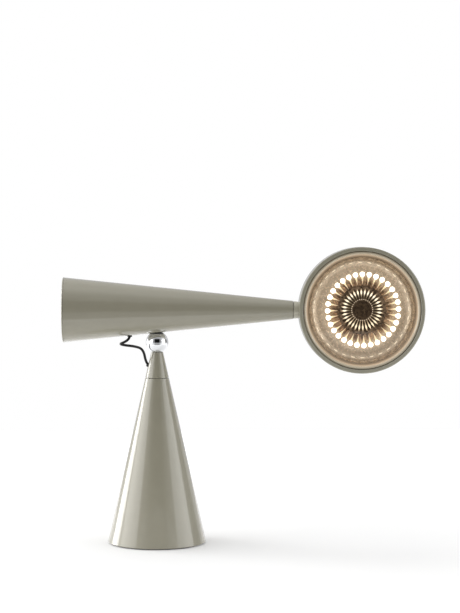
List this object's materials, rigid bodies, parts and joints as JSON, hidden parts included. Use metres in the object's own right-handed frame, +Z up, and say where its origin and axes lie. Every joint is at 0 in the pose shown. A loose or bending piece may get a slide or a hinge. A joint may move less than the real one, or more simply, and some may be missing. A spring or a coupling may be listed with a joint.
{
  "type": "ball-jointed cone desk lamp",
  "caption": "Desk lamp with an upright cone foot, a chromed ball joint, a balanced horizontal cone arm and a round LED head that turns on the arm.",
  "frame": {"origin": "on the foot's axis, on the surface that the lamp stands on", "axes": "+Z up, +X along the arm towards the head, the head faces -Y"},
  "size_m": [0.5035, 0.1427, 0.4124],
  "materials": {
    "enamel_steel": "grey-beige enamel, semi-gloss",
    "enamel_aluminium": "spun aluminium with grey-beige enamel, semi-gloss",
    "chrome_ball": "mirror-polished chrome on steel",
    "clear_glass": "clear, polished edge",
    "champagne_reflector": "champagne anodised, bright",
    "bronze_core": "dark bronze, gloss",
    "led_emitter": "warm white LED dome",
    "lead_black": "smooth black sheath",
    "rubber_black": "matt black",
    "zinc_steel": "zinc plated",
    "nickel_magnet": "nickel plated neodymium",
    "cast_iron": "as cast",
    "brass": "turned",
    "bare_aluminium": "as machined",
    "white_nylon": "moulded",
    "driver_case": "moulded case"
  },
  "bodies": {
    "base": {"foot_ring": "rubber_black", "base_plate": "zinc_steel", "ballast": "cast_iron", "base_shell": "enamel_steel", "base_screws": "zinc_steel", "inlet_gland": "rubber_black", "swivel_bush": "brass", "thrust_washer": "white_nylon", "stop_pin": "zinc_steel"},
    "tip": {"tip_cone": "enamel_aluminium", "spindle": "zinc_steel", "spindle_nut": "zinc_steel", "wave_washer": "zinc_steel", "tip_magnet": "nickel_magnet", "seat_ring": "white_nylon", "tip_grommet": "rubber_black", "link_lead_lower": "lead_black"},
    "ball": {"ball": "chrome_ball"},
    "arm": {"arm_shell": "enamel_aluminium", "arm_cap": "enamel_aluminium", "cap_bolt": "zinc_steel", "counterweight": "zinc_steel", "ball_socket": "zinc_steel", "arm_magnet": "nickel_magnet", "socket_bridge": "zinc_steel", "arm_grommet": "rubber_black", "driver_tray": "bare_aluminium", "driver": "driver_case", "neck_bush": "brass", "neck_washer": "white_nylon", "neck_stop_pin": "zinc_steel", "link_lead_upper": "lead_black"},
    "head": {"neck": "enamel_aluminium", "neck_spindle": "zinc_steel", "neck_nut": "zinc_steel", "head_nut": "zinc_steel", "head_shell": "enamel_aluminium", "bezel_ring": "enamel_aluminium", "glass": "clear_glass", "glass_gasket": "rubber_black", "reflector": "champagne_reflector", "led_board": "bare_aluminium", "leds": "led_emitter", "core": "bronze_core", "core_cap": "bronze_core", "heat_sink": "bare_aluminium", "head_screws": "zinc_steel"}
  },
  "joints": [
    {"name": "tip_swivel", "type": "hinge", "parent": "base", "child": "tip", "pos_m": [0, 0, 0.2301], "axis": [0, 0, 1], "range_deg": [-155, 155]},
    {"name": "ball_pitch", "type": "hinge", "parent": "tip", "child": "ball", "pos_m": [0, 0, 0.2795], "axis": [0, 1, 0], "range_deg": [-38, 38], "deforming": ["link_lead_lower"]},
    {"name": "ball_roll", "type": "hinge", "parent": "ball", "child": "arm", "pos_m": [0, 0, 0.2795], "axis": [1, 0, 0], "range_deg": [-18, 18], "deforming": ["link_lead_upper"]},
    {"name": "head_turn", "type": "hinge", "parent": "arm", "child": "head", "pos_m": [0.1893, 0, 0.3244], "axis": [1, 0, 0], "range_deg": [-155, 155]}
  ]
}
